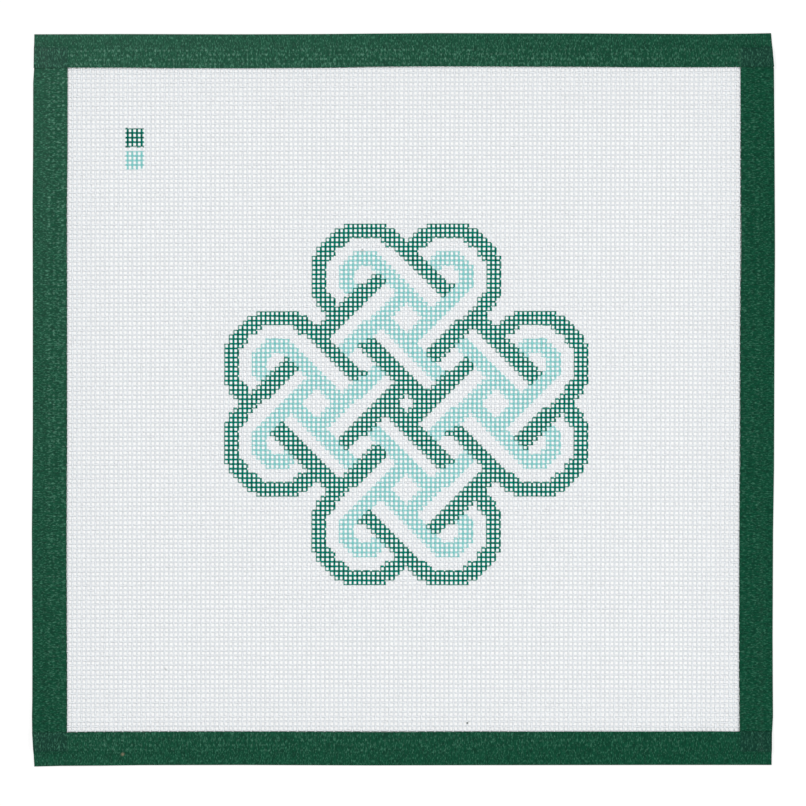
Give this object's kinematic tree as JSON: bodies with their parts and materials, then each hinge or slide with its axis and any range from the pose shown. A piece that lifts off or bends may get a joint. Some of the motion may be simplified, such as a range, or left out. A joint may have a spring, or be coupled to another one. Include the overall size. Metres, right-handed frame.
{
  "type": "needlepoint canvas panel",
  "caption": "Square needlepoint canvas with a plaited knot in two greens, bound on every side with folded green cotton tape.",
  "frame": {"origin": "centre of the footprint, on the surface that the panel lies on", "axes": "+X to the right and +Y up as the design is read, +Z up from the surface towards the painted side"},
  "size_m": [0.3144, 0.3106, 0.0062],
  "materials": {
    "canvas": "sized mono canvas, open weave, painted in two greens",
    "binding_tape": "plain woven cotton tape, dull"
  },
  "bodies": {
    "root": {"canvas": "canvas", "binding_left": "binding_tape", "binding_right": "binding_tape", "binding_top": "binding_tape", "binding_bottom": "binding_tape"}
  },
  "joints": []
}
